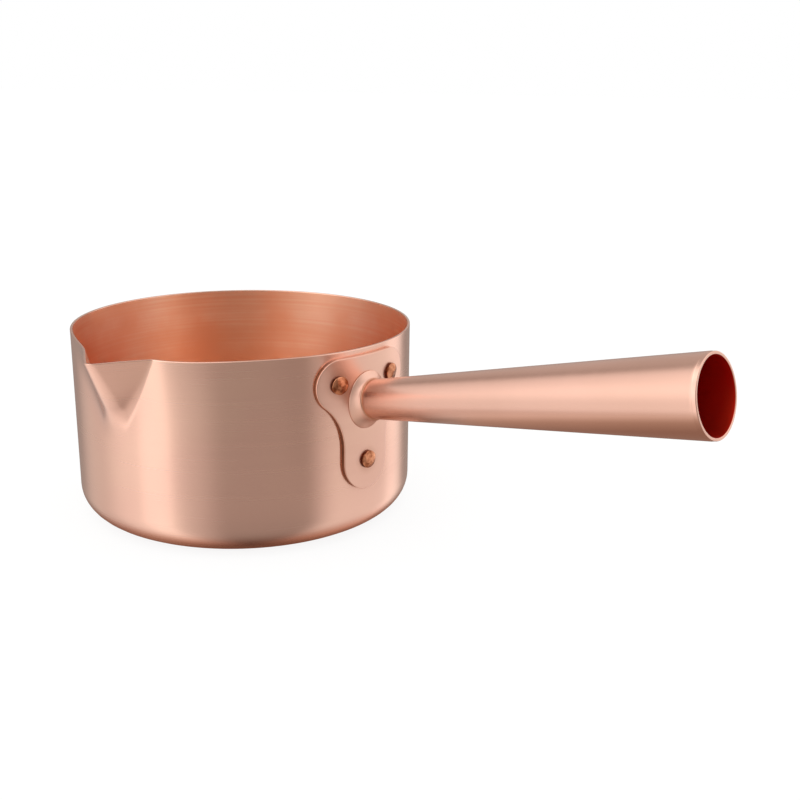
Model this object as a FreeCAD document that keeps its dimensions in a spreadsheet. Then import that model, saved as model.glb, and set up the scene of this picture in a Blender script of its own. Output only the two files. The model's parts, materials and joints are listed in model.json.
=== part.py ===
import FreeCAD, Part

# Copper sugar saucepan: a spun copper vessel with a V-shaped pouring lip, and a hollow conical copper handle
# brazed into a sheet plate that three copper rivets hold to the wall.
#
# Frame: origin at the centre of the flat base, +Z up, +X along the handle, seen from above.
# The pouring lip points close to -Y. All lengths are millimetres and all angles degrees.

import math
import os

import Sketcher

DIMENSIONS = [
    # vessel
    ("pan_radius", 80.0),            # outer radius of the wall
    ("pan_height", 88.0),            # base to rim
    ("wall_thickness", 1.2),
    ("base_thickness", 1.5),
    ("corner_radius", 13.0),         # outer radius between base and wall
    ("rim_round", 0.4),              # rounding of the rim's edges
    # pouring lip: a V-shaped fold whose ridge runs from the wall up and out to the rim
    ("lip_angle", 79.0),             # from the handle to the lip, clockwise seen from above
    ("lip_reach", 19.8),             # how far the tip stands out from the wall at the rim
    ("lip_drop", 31.0),              # how far below the rim the ridge leaves the wall
    ("lip_near_flank_angle", 38.0),  # between the flank on the handle's side and the lip's own direction
    ("lip_far_flank_angle", 46.0),   # between the other flank and the lip's own direction
    ("lip_nose_radius", 4.0),        # outer radius of the folded ridge
    ("lip_blend_radius", 25.0),      # radius of the sweep from each flank into the round wall
    # handle
    ("handle_root_height", 64.6),    # where the handle's axis meets the outside of the wall
    ("handle_rise_angle", 11.9),     # slope of the handle's axis
    ("handle_length", 164.9),        # along the axis, from the wall to the open end
    ("handle_root_radius", 8.45),    # outer radius where the axis meets the wall
    ("handle_end_radius", 15.35),    # outer radius at the open end
    ("handle_wall", 1.3),
    ("handle_edge_round", 0.35),     # rounding of the open end's edges
    # plate
    ("plate_thickness", 2.0),
    ("upper_rivet_angle", 11.6),     # upper lobes and rivets, each side of the handle, round the wall
    ("upper_rivet_height", 74.2),
    ("lower_rivet_height", 37.5),    # also the centre of the plate's lower lobe
    ("plate_top_height", 85.4),
    ("plate_lobe_radius", 11.8),
    ("plate_foot_radius", 13.8),
    ("plate_waist_height", 44.0),    # where the straight waist turns into the flared flank
    # collar round the handle's root, and the ring of braze at its mouth
    ("collar_foot_radius", 12.5),
    ("collar_mouth_radius", 9.4),
    ("collar_foot_station", 2.5),    # along the handle's axis, from the wall to where the cone begins
    ("collar_mouth_station", 6.6),   # along the handle's axis, from the wall to the collar's mouth
    ("braze_width", 0.6),
    # rivets
    ("rivet_shank_radius", 2.5),
    ("rivet_head_radius", 4.2),
    ("rivet_head_side", 1.3),        # straight side of the outer head
    ("rivet_head_dome", 0.9),        # crown above the straight side
    ("rivet_button_radius", 5.5),    # flat button inside the pan
    ("rivet_button_height", 1.3),
    ("rivet_button_flat", 4.4),      # radius of its flat face
    ("rivet_button_side", 0.5),      # straight side next to the wall
]

# how far the handle's pieces run inside the wall before trimming
ROOT_OVERLAP = "Dims.handle_root_radius / 2"
# how far a cutting shape runs past the solid that it cuts
CUT_MARGIN = "10"
# the lip's pad and pocket run this much further down than its ridge does, so that they end inside the wall
LIP_RUN = "1.05 * Dims.lip_drop"

# a coordinate smaller than this lies on a sketch's axis
ON_AXIS = 1e-9
# an edge is level when its ends' heights agree this closely
LEVEL_WITHIN = 1e-4

document = FreeCAD.newDocument("copper_saucepan")
sheet = document.addObject("Spreadsheet::Sheet", "Dims")
for row, (alias, value) in enumerate(DIMENSIONS, start=1):
    sheet.set(f"A{row}", alias)
    sheet.set(f"B{row}", str(value))
    sheet.setAlias(f"B{row}", alias)
document.recompute()


def dim(alias):
    """The value of one driving dimension."""
    return float(sheet.get(alias))


def evaluate(expression):
    """The number that an expression over the sheet gives."""
    value = sheet.evalExpression(expression)
    return float(getattr(value, "Value", value))


def new_body(name):
    """A PartDesign body whose label names its file."""
    body = document.addObject("PartDesign::Body", name)
    body.Label = name
    return body


def origin_plane(body, role):
    """One of a body's own origin planes."""
    return next(feature for feature in body.Origin.OriginFeatures if feature.Role == role)


def new_sketch(body, name, role, offset_expression=None):
    """A sketch on one of the body's origin planes, moved along the plane's normal by an expression."""
    sketch = body.newObject("Sketcher::SketchObject", name)
    sketch.AttachmentSupport = [(origin_plane(body, role), "")]
    sketch.MapMode = "FlatFace"
    if offset_expression:
        sketch.setExpression("AttachmentOffset.Base.z", offset_expression)
    return sketch


def bind(sketch, constraint, expression):
    """Adds one driving constraint and binds it to the sheet."""
    index = sketch.addConstraint(constraint)
    sketch.setExpression(f"Constraints[{index}]", expression)


def pin_point(sketch, geometry, position, x_expression, y_expression):
    """Fixes one point of a piece of sketch geometry at a place given by two expressions."""
    for kind, expression, axis in (("DistanceX", x_expression, -2), ("DistanceY", y_expression, -1)):
        value = evaluate(expression)
        if abs(value) < ON_AXIS:
            sketch.addConstraint(Sketcher.Constraint("PointOnObject", geometry, position, axis))
        else:
            bind(sketch, Sketcher.Constraint(kind, -1, 1, geometry, position, value), expression)


def arc_through(start, end, radius, left_of_travel):
    """The short circular arc from start to end; its centre lies left of the travel, or right of it."""
    chord = end - start
    half = chord.Length / 2
    across = FreeCAD.Vector(-chord.y, chord.x, 0).normalize()
    if not left_of_travel:
        across = across * -1
    centre = start + chord * 0.5 + across * math.sqrt(radius * radius - half * half)
    middle = centre - across * radius
    return Part.Arc(start, middle, end)


def outline(sketch, corners):
    """Draws a closed outline.

    Each corner is (x, y) or (x, y, radius, left_of_travel), all of them expressions but the last; the extra
    pair makes the run to the next corner an arc of that radius, with its centre on the given side.
    """
    points = [FreeCAD.Vector(evaluate(corner[0]), evaluate(corner[1]), 0) for corner in corners]
    count = len(corners)
    ends = []
    for index, corner in enumerate(corners):
        start = points[index]
        end = points[(index + 1) % count]
        if len(corner) == 2:
            geometry = sketch.addGeometry(Part.LineSegment(start, end), False)
            ends.append((geometry, 1, 2))
        else:
            arc = arc_through(start, end, evaluate(corner[2]), corner[3])
            geometry = sketch.addGeometry(arc, False)
            # Sketcher turns every arc counter-clockwise, so a clockwise one runs from its end to its start
            ends.append((geometry, 1, 2) if corner[3] else (geometry, 2, 1))
    for index in range(count):
        following = ends[(index + 1) % count]
        sketch.addConstraint(
            Sketcher.Constraint("Coincident", ends[index][0], ends[index][2], following[0], following[1]))
    for index, corner in enumerate(corners):
        pin_point(sketch, ends[index][0], ends[index][1], corner[0], corner[1])
        if len(corner) == 4:
            bind(sketch, Sketcher.Constraint("Radius", ends[index][0], evaluate(corner[2])), corner[2])


def revolve(body, kind, sketch, name):
    """A full turn about the body's Z axis: a Revolution adds, a Groove cuts."""
    feature = body.newObject(f"PartDesign::{kind}", name)
    feature.Profile = sketch
    feature.ReferenceAxis = (sketch, ["V_Axis"])
    feature.Angle = 360
    sketch.Visibility = False
    return feature


def extrude(body, kind, sketch, name, length_expression):
    """A Pad or a Pocket of the sketch, along its normal."""
    feature = body.newObject(f"PartDesign::{kind}", name)
    feature.Profile = sketch
    feature.setExpression("Length", length_expression)
    return feature


def cut(name, base, tool):
    """A Part cut of two objects."""
    result = document.addObject("Part::Cut", name)
    result.Label = name
    result.Base = base
    result.Tool = tool
    return result


def place(item, x, y, z, axis, angle):
    """Binds an object's placement: a position and one turn about a fixed axis."""
    turn = FreeCAD.Rotation(FreeCAD.Vector(*axis), evaluate(angle))
    item.Placement = FreeCAD.Placement(FreeCAD.Vector(), turn)
    for path, expression in (("Base.x", x), ("Base.y", y), ("Base.z", z), ("Rotation.Angle", angle)):
        item.setExpression(f"Placement.{path}", expression)


def place_on_handle(item):
    """Turns the object's Z axis into the handle's axis, with its origin where that axis meets the wall."""
    place(item, "Dims.pan_radius", "0", "Dims.handle_root_height", (0, 1, 0), "90 - Dims.handle_rise_angle")


def tube_radius(station):
    """The handle's outer radius at a distance along its axis from the wall."""
    flare = "(Dims.handle_end_radius - Dims.handle_root_radius) / Dims.handle_length"
    return f"(Dims.handle_root_radius + ({station}) * {flare})"


# ---------------------------------------------------------------- pan body

def vessel_profile(body, name, radius, floor, corner, top):
    """Half section of a round vessel: floor, rounded corner and straight wall up to the given top."""
    sketch = new_sketch(body, name, "XZ_Plane")
    outline(sketch, [
        ("0", floor),
        (f"{radius} - {corner}", floor, corner, True),
        (radius, f"{floor} + {corner}"),
        (radius, top),
        ("0", top),
    ])
    return sketch


def lip_side(flank_angle, inset):
    """Where one side of the lip leaves the wall, where its straight flank starts, and where its nose starts.

    The three points are (along the lip's direction, away from it), as expressions, at the rim. The inset moves
    them inwards, to give the inner side of the sheet.
    """
    wall = f"(Dims.pan_radius - {inset})"
    nose = f"(Dims.lip_nose_radius - {inset})"
    blend = f"(Dims.lip_blend_radius + {inset})"
    nose_centre = "(Dims.pan_radius + Dims.lip_reach - Dims.lip_nose_radius)"
    sine = f"sin({flank_angle})"
    cosine = f"cos({flank_angle})"
    # a flank is the line at flank_distance from the pan's axis whose normal leans by the flank angle
    flank_distance = f"({nose_centre} * {sine} + {nose})"
    blend_distance = f"({flank_distance} + {blend})"
    blend_run = f"sqrt(({wall} + {blend})^2 - {blend_distance}^2)"
    on_wall = f"{wall} / ({wall} + {blend})"
    leaves_wall = (f"({blend_distance} * {sine} + {blend_run} * {cosine}) * {on_wall}",
                   f"({blend_distance} * {cosine} - {blend_run} * {sine}) * {on_wall}")
    flank_start = (f"{flank_distance} * {sine} + {blend_run} * {cosine}",
                   f"{flank_distance} * {cosine} - {blend_run} * {sine}")
    nose_start = (f"{nose_centre} + {nose} * {sine}", f"{nose} * {cosine}")
    return leaves_wall, flank_start, nose_start


def lip_profile(body, name, inset):
    """The V of the pouring lip in plan, at the rim, drawn along the lip's own direction.

    Each side sweeps from the round wall into a straight flank, and the flanks meet in a rounded nose.
    """
    sketch = new_sketch(body, name, "XY_Plane", "Dims.pan_height")
    clockwise = FreeCAD.Rotation(FreeCAD.Vector(0, 0, -1), dim("lip_angle"))
    sketch.AttachmentOffset = FreeCAD.Placement(sketch.AttachmentOffset.Base, clockwise)
    sketch.setExpression("AttachmentOffset.Rotation.Angle", "Dims.lip_angle")
    near_wall, near_flank, near_nose = lip_side("Dims.lip_near_flank_angle", inset)
    far_wall, far_flank, far_nose = lip_side("Dims.lip_far_flank_angle", inset)
    nose = f"(Dims.lip_nose_radius - {inset})"
    blend = f"(Dims.lip_blend_radius + {inset})"
    outline(sketch, [
        (far_wall[0], f"-({far_wall[1]})", blend, False),
        (far_flank[0], f"-({far_flank[1]})"),
        (far_nose[0], f"-({far_nose[1]})", nose, True),
        near_nose,
        (near_flank[0], near_flank[1], blend, False),
        near_wall,
    ])
    return sketch


def slide_along_ridge(feature):
    """Makes a Pad or Pocket run down the lip's ridge, until its nose has passed inside the wall."""
    feature.UseCustomVector = True
    feature.AlongSketchNormal = True
    feature.setExpression("Direction.x", "-Dims.lip_reach * cos(Dims.lip_angle)")
    feature.setExpression("Direction.y", "Dims.lip_reach * sin(Dims.lip_angle)")
    feature.setExpression("Direction.z", "-Dims.lip_drop")


def edges_at_height(shape, height):
    """Names of the edges that lie wholly in one level plane."""
    names = []
    for number, edge in enumerate(shape.Edges, start=1):
        box = edge.BoundBox
        if abs(box.ZMin - height) < LEVEL_WITHIN and abs(box.ZMax - height) < LEVEL_WITHIN:
            names.append(f"Edge{number}")
    return names


def make_vessel():
    """The spun vessel with its pulled lip, before the rivet holes."""
    body = new_body("vessel")
    solid = vessel_profile(
        body, "outer_section", "Dims.pan_radius", "0", "Dims.corner_radius", "Dims.pan_height")
    revolve(body, "Revolution", solid, "outer_form")
    lip_outer = extrude(body, "Pad", lip_profile(body, "lip_outer_plan", "0"), "lip_outer_form", LIP_RUN)
    slide_along_ridge(lip_outer)
    document.recompute()
    hollow = vessel_profile(
        body, "inner_section", "Dims.pan_radius - Dims.wall_thickness", "Dims.base_thickness",
        "(Dims.corner_radius - Dims.wall_thickness)", f"Dims.pan_height + {CUT_MARGIN}")
    revolve(body, "Groove", hollow, "inner_form")
    document.recompute()
    lip_inner = extrude(body, "Pocket", lip_profile(body, "lip_inner_plan", "Dims.wall_thickness"),
                        "lip_inner_form", LIP_RUN)
    slide_along_ridge(lip_inner)
    document.recompute()
    rim = body.newObject("PartDesign::Fillet", "rounded_rim")
    rim.Base = (lip_inner, edges_at_height(lip_inner.Shape, dim("pan_height")))
    rim.setExpression("Radius", "Dims.rim_round")
    document.recompute()
    return body


# ---------------------------------------------------------------- handle plate

def make_plate_blank():
    """The sheet plate, bent round the wall: its outline cut from a ring of sheet."""
    body = new_body("plate_blank")
    sketch = new_sketch(body, "plate_outline", "YZ_Plane")
    face_radius = "(Dims.pan_radius + Dims.plate_thickness)"
    lobe_y = f"{face_radius} * sin(Dims.upper_rivet_angle)"
    lobe_z = "(Dims.plate_top_height - Dims.plate_lobe_radius)"
    lobe = "Dims.plate_lobe_radius"
    foot = "Dims.plate_foot_radius"
    waist_z = "Dims.plate_waist_height"
    # The flared flank is an arc: it leaves the straight waist at waist_z and runs into the upper lobe.
    inward = f"({lobe_y} - {foot})"
    rise = f"({lobe_z} - {waist_z})"
    flank = f"(({rise}^2 + {inward}^2 - {lobe}^2) / (2 * ({lobe} + {inward})))"
    share = f"{lobe} / ({lobe} + {flank})"
    meet_y = f"{lobe_y} + ({foot} + {flank} - {lobe_y}) * {share}"
    meet_z = f"{lobe_z} - {rise} * {share}"
    top_z = "Dims.plate_top_height"
    foot_z = "Dims.lower_rivet_height"
    outline(sketch, [
        (foot, foot_z),
        (foot, waist_z, flank, False),
        (meet_y, meet_z, lobe, True),
        (f"{lobe_y} + {lobe}", lobe_z, lobe, True),
        (lobe_y, top_z),
        (f"-{lobe_y}", top_z, lobe, True),
        (f"-({lobe_y} + {lobe})", lobe_z, lobe, True),
        (f"-({meet_y})", meet_z, flank, False),
        (f"-{foot}", waist_z),
        (f"-{foot}", foot_z, foot, True),
        ("0", f"{foot_z} - {foot}", foot, True),
    ])
    extrude(body, "Pad", sketch, "plate_prism", f"{face_radius} + {CUT_MARGIN}")
    document.recompute()
    # the prism's far corners lie further from the pan's axis than its end does, hence the double margin
    for name, low, high in (
            ("wall_side", "0", "Dims.pan_radius"),
            ("face_side", face_radius, f"{face_radius} + 2 * {CUT_MARGIN}")):
        ring = new_sketch(body, f"{name}_section", "XZ_Plane")
        outline(ring, [
            (low, "0"),
            (high, "0"),
            (high, "Dims.pan_height"),
            (low, "Dims.pan_height"),
        ])
        revolve(body, "Groove", ring, name)
        document.recompute()
    return body


# ---------------------------------------------------------------- handle, collar and braze

def make_wall_surface(name, radius):
    """A solid cylinder on the pan's axis, for fitting pieces to the wall or to the plate's face."""
    cylinder = document.addObject("Part::Cylinder", name)
    cylinder.setExpression("Radius", radius)
    cylinder.setExpression("Height", "Dims.pan_height")
    return cylinder


def make_handle_form():
    """The handle's outer cone as a solid, for boring the plate and the collar."""
    cone = document.addObject("Part::Cone", "handle_form")
    cone.setExpression("Radius1", tube_radius(f"-({ROOT_OVERLAP})"))
    cone.setExpression("Radius2", tube_radius("Dims.handle_length / 4"))
    cone.setExpression("Height", f"{ROOT_OVERLAP} + Dims.handle_length / 4")
    place(cone, f"Dims.pan_radius - ({ROOT_OVERLAP}) * cos(Dims.handle_rise_angle)", "0",
          f"Dims.handle_root_height - ({ROOT_OVERLAP}) * sin(Dims.handle_rise_angle)", (0, 1, 0),
          "90 - Dims.handle_rise_angle")
    return cone


def make_tube_blank():
    """The hollow cone with a rounded open end, running past the wall at its root."""
    body = new_body("tube_blank")
    place_on_handle(body)
    sketch = new_sketch(body, "tube_section", "XZ_Plane")
    start = f"-({ROOT_OVERLAP})"
    end = "Dims.handle_length"
    rounding = "Dims.handle_edge_round"
    outer = tube_radius(end)
    inner = f"({outer} - Dims.handle_wall)"
    outline(sketch, [
        (f"{tube_radius(start)} - Dims.handle_wall", start),
        (tube_radius(start), start),
        (tube_radius(f"{end} - {rounding}"), f"{end} - {rounding}", rounding, True),
        (f"{outer} - {rounding}", end),
        (f"{inner} + {rounding}", end, rounding, True),
        (inner, f"{end} - {rounding}"),
    ])
    revolve(body, "Revolution", sketch, "tube_form")
    return body


def make_collar_blank():
    """The collar's cone, running past the plate's face at its foot."""
    body = new_body("collar_blank")
    place_on_handle(body)
    sketch = new_sketch(body, "collar_section", "XZ_Plane")
    start = f"-({ROOT_OVERLAP})"
    foot = "Dims.collar_foot_station"
    mouth = "Dims.collar_mouth_station"
    bore = "(Dims.handle_root_radius / 2)"
    outline(sketch, [
        (bore, start),
        ("Dims.collar_foot_radius", start),
        ("Dims.collar_foot_radius", foot),
        ("Dims.collar_mouth_radius", mouth),
        (bore, mouth),
    ])
    revolve(body, "Revolution", sketch, "collar_form")
    return body


def make_braze_ring():
    """The fillet of braze in the corner between the collar's mouth and the handle."""
    body = new_body("braze_ring")
    place_on_handle(body)
    sketch = new_sketch(body, "braze_section", "XZ_Plane")
    mouth = "Dims.collar_mouth_station"
    tip = f"{mouth} + Dims.braze_width"
    outline(sketch, [
        (tube_radius(mouth), mouth),
        (f"{tube_radius(mouth)} + Dims.braze_width", mouth),
        (tube_radius(tip), tip),
    ])
    revolve(body, "Revolution", sketch, "braze_form")
    return body


# ---------------------------------------------------------------- rivets

def rivet_sites():
    """Name, direction round the wall and height of each rivet."""
    return (
        ("rivet_upper_left", "-Dims.upper_rivet_angle", "Dims.upper_rivet_height"),
        ("rivet_upper_right", "Dims.upper_rivet_angle", "Dims.upper_rivet_height"),
        ("rivet_lower", "0", "Dims.lower_rivet_height"),
    )


def point_outwards(item, direction, height):
    """Lays the object's Z axis level, pointing out from the pan's axis in the given direction."""
    turn = FreeCAD.Rotation(FreeCAD.Vector(0, 0, 1), evaluate(direction))
    lay_over = FreeCAD.Rotation(FreeCAD.Vector(0, 1, 0), 90)
    item.Placement = FreeCAD.Placement(FreeCAD.Vector(0, 0, evaluate(height)), turn * lay_over)
    item.setExpression("Placement.Base.z", height)


def make_rivet(name, direction, height):
    """A solid rivet drawn pointing straight up, then laid over to point out of the wall."""
    body = new_body(name)
    sketch = new_sketch(body, f"{name}_section", "XZ_Plane")
    face = "(Dims.pan_radius + Dims.plate_thickness)"
    inner_wall = "(Dims.pan_radius - Dims.wall_thickness)"
    # the button is flat and the wall is round, so its rim reaches the wall before its middle does
    seat = f"sqrt({inner_wall}^2 - Dims.rivet_button_radius^2)"
    side = f"{face} + Dims.rivet_head_side"
    crown_radius = "((Dims.rivet_head_radius^2 + Dims.rivet_head_dome^2) / (2 * Dims.rivet_head_dome))"
    outline(sketch, [
        ("0", f"{seat} - Dims.rivet_button_height"),
        ("Dims.rivet_button_flat", f"{seat} - Dims.rivet_button_height"),
        ("Dims.rivet_button_radius", f"{seat} - Dims.rivet_button_side"),
        ("Dims.rivet_button_radius", seat),
        ("Dims.rivet_shank_radius", seat),
        ("Dims.rivet_shank_radius", face),
        ("Dims.rivet_head_radius", face),
        ("Dims.rivet_head_radius", side, crown_radius, True),
        ("0", f"{side} + Dims.rivet_head_dome"),
    ])
    revolve(body, "Revolution", sketch, f"{name}_form")
    point_outwards(body, direction, height)
    return body


def make_rivet_holes():
    """The three drillings through wall and plate, as one tool."""
    drills = []
    for name, direction, height in rivet_sites():
        drill = document.addObject("Part::Cylinder", name.replace("rivet", "drill"))
        drill.setExpression("Radius", "Dims.rivet_shank_radius")
        drill.setExpression("Height", f"Dims.pan_radius + {CUT_MARGIN}")
        point_outwards(drill, direction, height)
        drills.append(drill)
    holes = document.addObject("Part::MultiFuse", "rivet_holes")
    holes.Shapes = drills
    return holes


# ---------------------------------------------------------------- the whole pan

def make_saucepan():
    """All the pieces, in the order they would be put together."""
    rivet_holes = make_rivet_holes()
    wall_surface = make_wall_surface("wall_surface", "Dims.pan_radius")
    plate_surface = make_wall_surface("plate_surface", "Dims.pan_radius + Dims.plate_thickness")
    handle_form = make_handle_form()
    pieces = [
        cut("pan_body", make_vessel(), rivet_holes),
        cut("handle_plate", cut("drilled_plate", make_plate_blank(), rivet_holes), handle_form),
        cut("socket_collar", cut("bored_collar", make_collar_blank(), handle_form), plate_surface),
        cut("handle_tube", make_tube_blank(), wall_surface),
        make_braze_ring(),
    ]
    for name, direction, height in rivet_sites():
        pieces.append(make_rivet(name, direction, height))
    return pieces


def check_and_write(pieces):
    """Stops on any failed object or bad solid, then writes one file for each piece."""
    for item in document.Objects:
        if "Invalid" in item.State or "Error" in item.State:
            raise RuntimeError(f"{item.Name} failed: {item.State}")
    for piece in pieces:
        shape = piece.Shape
        if shape.isNull() or not shape.isValid() or len(shape.Solids) != 1:
            raise RuntimeError(f"{piece.Label} is not one valid solid")
    os.makedirs("parts", exist_ok=True)
    for piece in pieces:
        piece.Shape.exportStep(os.path.join("parts", f"{piece.Label}.step"))
        print(f"{piece.Label}: {piece.Shape.Volume:.1f} mm3")


all_pieces = make_saucepan()
document.recompute()
check_and_write(all_pieces)
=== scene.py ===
import json
import math
import random

import bmesh
import bpy
import numpy as np
from mathutils import Matrix, Vector


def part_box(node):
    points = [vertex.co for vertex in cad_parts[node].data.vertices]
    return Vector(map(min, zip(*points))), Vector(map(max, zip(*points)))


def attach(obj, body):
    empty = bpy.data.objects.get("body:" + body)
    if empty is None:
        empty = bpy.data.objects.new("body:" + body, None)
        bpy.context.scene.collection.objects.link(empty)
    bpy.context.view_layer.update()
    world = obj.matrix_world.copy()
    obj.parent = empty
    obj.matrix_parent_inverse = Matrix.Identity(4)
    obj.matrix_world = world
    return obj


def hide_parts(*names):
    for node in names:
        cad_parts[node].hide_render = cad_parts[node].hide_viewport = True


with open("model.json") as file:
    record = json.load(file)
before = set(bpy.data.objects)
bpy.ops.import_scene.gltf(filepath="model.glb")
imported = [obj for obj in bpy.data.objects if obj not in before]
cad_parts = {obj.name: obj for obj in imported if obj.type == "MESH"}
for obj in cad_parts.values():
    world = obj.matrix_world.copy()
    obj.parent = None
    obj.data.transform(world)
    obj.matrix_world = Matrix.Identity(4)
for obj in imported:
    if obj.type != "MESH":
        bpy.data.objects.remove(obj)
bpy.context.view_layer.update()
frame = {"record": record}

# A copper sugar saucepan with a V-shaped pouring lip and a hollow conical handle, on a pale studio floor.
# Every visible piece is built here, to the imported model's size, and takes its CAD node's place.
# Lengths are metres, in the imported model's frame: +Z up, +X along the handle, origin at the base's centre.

MM = 0.001

# ---------------------------------------------------------------- sizes and places

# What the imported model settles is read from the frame, and the rest is set here.
pan_low, pan_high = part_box("pan_body")
PAN_RADIUS = pan_high.y
PAN_HEIGHT = pan_high.z
WALL = 1.2 * MM
BASE = 1.5 * MM
CORNER_RADIUS = 13 * MM
RIM_ROUND = 0.4 * MM
RIM_CLEARANCE = 0.3 * MM                 # between the wall's last ring and the rim's rounding
WANDER = 0.05 * MM                       # spun sheet is never quite round
CORNER_STEPS = 12                        # rings of the mesh round the corner, up the wall and across the base
WALL_STEPS = 62
BASE_SHARES = (0.15, 0.4, 0.65, 0.85, 0.97)

LIP_BEARING = math.radians(-79.9)        # from the handle's direction to the lip's, seen from above
LIP_TIP = pan_low.y / math.sin(LIP_BEARING)
LIP_DROP = 36 * MM                       # how far below the rim the pulling of the lip moved the wall
LIP_NEAR_FLANK = math.radians(37.1)      # between the flank on the handle's side and the lip's direction
LIP_FAR_FLANK = math.radians(48.2)       # between the other flank and the lip's direction
LIP_NEAR_LEAN = 0.36                     # how far each flank comes in, for each unit that it goes down
LIP_FAR_LEAN = 0.277
LIP_NEAR_CURL = 6.0                      # how sharply the near flank's lower part curls in, per metre
LIP_NEAR_CURL_FROM = 8 * MM
LIP_NOSE_AT_RIM = 4.0 * MM               # radius of the folded ridge
LIP_NOSE_GROWTH = 0.19                   # how much the radius grows for each unit that the ridge goes down
LIP_NEAR_CREASE = 0.6 * MM               # width at the rim of the crease between a flank and the round wall
LIP_FAR_CREASE = 5.8 * MM
LIP_CREASE_GROWTH = 7.0 * MM             # how much wider the near crease is where the lip ends
LIP_NEAR_BULGE = 1.2 * MM                # how far the wall beside each crease was pulled out with the lip
LIP_FAR_BULGE = 0.3 * MM
LIP_SIDES_MEET = math.radians(-3)        # where the one side's crease and bulge give way to the other's
LIP_SIDES_SPREAD = math.radians(10)
LIP_BULGE_TURN = math.radians(12)        # how far from the lip's direction the bulge is still full
LIP_BULGE_SPREAD = math.radians(12)
RIM_DIP = 0.9 * MM                       # how far the rim was pulled down beside the lip
RIM_DIP_TURN = math.radians(20)
RIM_DIP_SPREAD = math.radians(17)
LIP_TIP_DIP = 0.5 * MM
LIP_TIP_SPREAD = math.radians(5)

socket = next(mount for mount in frame["record"]["mounts"] if mount["name"] == "handle_socket")
AXIS = Vector(socket["axis"]).normalized()
HANDLE_LENGTH = (socket["pos_m"][0] - PAN_RADIUS) / AXIS.x
ROOT = Vector(socket["pos_m"]) - AXIS * HANDLE_LENGTH
ACROSS = Vector((0, 1, 0))
ABOVE = AXIS.cross(ACROSS)
HANDLE_END_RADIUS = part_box("handle_tube")[1].y
HANDLE_ROOT_RADIUS = 8.45 * MM
HANDLE_WALL = 1.3 * MM
HANDLE_EDGE_ROUND = 0.35 * MM
HANDLE_FIRST_RING = 9 * MM               # clear of the root, which is cut to the round wall
HANDLE_LAST_RING = 1 * MM                # clear of the burnished band
EDGE_BAND = 1.7 * MM                     # burnished band behind the open end
EDGE_BAND_DROP = 0.08 * MM
# How far along the handle from the band's start, and how far below the surface, its edge's rings lie.
EDGE_BAND_STEPS = ((-0.08 * MM, 0.0), (0.0, 0.01 * MM), (0.08 * MM, 0.03 * MM), (0.3 * MM, EDGE_BAND_DROP))

plate_low, plate_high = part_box("handle_plate")
PLATE_FACE = plate_high.x                # distance from the pan's axis
PLATE_LOBE = 11.8 * MM                   # radius of each upper lobe
PLATE_FOOT = 13.8 * MM                   # radius of the lower lobe
PLATE_WAIST_HEIGHT = 44 * MM             # where the lower lobe's sides begin to flare
PLATE_NARROWING = 0.955                  # the plate's width, as a share of the drawn outline's
PLATE_EDGE_ROUND = 0.25 * MM
PLATE_PAINTED_SHADE_STOPS = 0.4 * MM              # below the plate's face
PLATE_FLAT_FROM = 0.625 * MM             # below the plate's face, where the painted shade on its side stops
PLATE_TOP_LEVEL = 0.75                   # the edge counts as the top where it runs this much sideways; the top, where light falls, gets no painted shade
PLATE_GRID = 2 * MM

COLLAR_FOOT_ACROSS = 11.3 * MM           # the foot is a little taller than it is wide
COLLAR_FOOT_UP = 12.7 * MM
COLLAR_MOUTH_RADIUS = 9.3 * MM
COLLAR_MOUTH_STATION = 6.6 * MM          # along the handle's axis from the wall
COLLAR_EDGE = 0.3 * MM
COLLAR_FOOT_STEP = 0.05 * MM
COLLAR_FLARE = 1.5                       # how steeply the collar's side hollows towards its foot
BRAZE_WIDTH = 0.6 * MM
# The braze's unevenness: waves round the ring, their size and phase, and what the fullest place comes to.
BRAZE_WAVES = ((3, 0.14, 0.6), (8, 0.08, 2.0))
BRAZE_FULLEST = 1.2

RIVET_HEAD_RADIUS = 4.2 * MM
RIVET_HEAD_SIDE = 1.3 * MM
RIVET_HEAD_DOME = 0.9 * MM
RIVET_HEAD_EDGE = 0.45 * MM
RIVET_HEAD_SUNK = 0.2 * MM               # how far the head reaches into the plate's face
RIVET_SHANK_RADIUS = 2.5 * MM
RIVET_BUTTON_RADIUS = 5.5 * MM
RIVET_BUTTON_HEIGHT = 1.3 * MM
RIVET_BUTTON_FIRST = 0.45                # first ring round the middle, as a share of the button's radius
RIVET_BUTTON_FLAT = 0.8                  # share of the button's radius
RIVET_BUTTON_ROUNDED = 0.65              # share of the button's height
RIVET_BLOWS = 4
RIVET_BLOW_LEAN = (0.10, 0.34)           # least and most slope of the flat that a hammer blow leaves
RIVET_BLOW_LEVEL = (0.80, 1.05)          # least and most height of its middle, as shares of the dome
RIVET_BLOW_SHIFT = 0.25                  # how far a blow strays from even spacing, as a share of it
RIVET_OVAL = 0.02                        # how far the head is out of round, in two waves and in five
RIVET_RAGGED = 0.01

RIVETS = ("rivet_upper_left", "rivet_upper_right", "rivet_lower")


def rivet_site(name):
    """Bearing round the pan and height of a rivet."""
    low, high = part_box(name)
    centre = (low + high) / 2
    return math.atan2(centre.y, centre.x), centre.z


# ---------------------------------------------------------------- camera

CAMERA_DISTANCE = 503.6 * MM             # from the pan's axis
CAMERA_BEARING = math.radians(-40.09)
CAMERA_HEIGHT = 195 * MM
CAMERA_HEADING = math.radians(131.26)    # the bearing that it looks along
CAMERA_PITCH = math.radians(-16.34)
CAMERA_ROLL = 0.0139
CAMERA_LENS = 47.55                      # focal length and sensor width in millimetres
CAMERA_SENSOR = 36
CAMERA_NEAREST = 0.01
CAMERA_FURTHEST = 200


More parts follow.
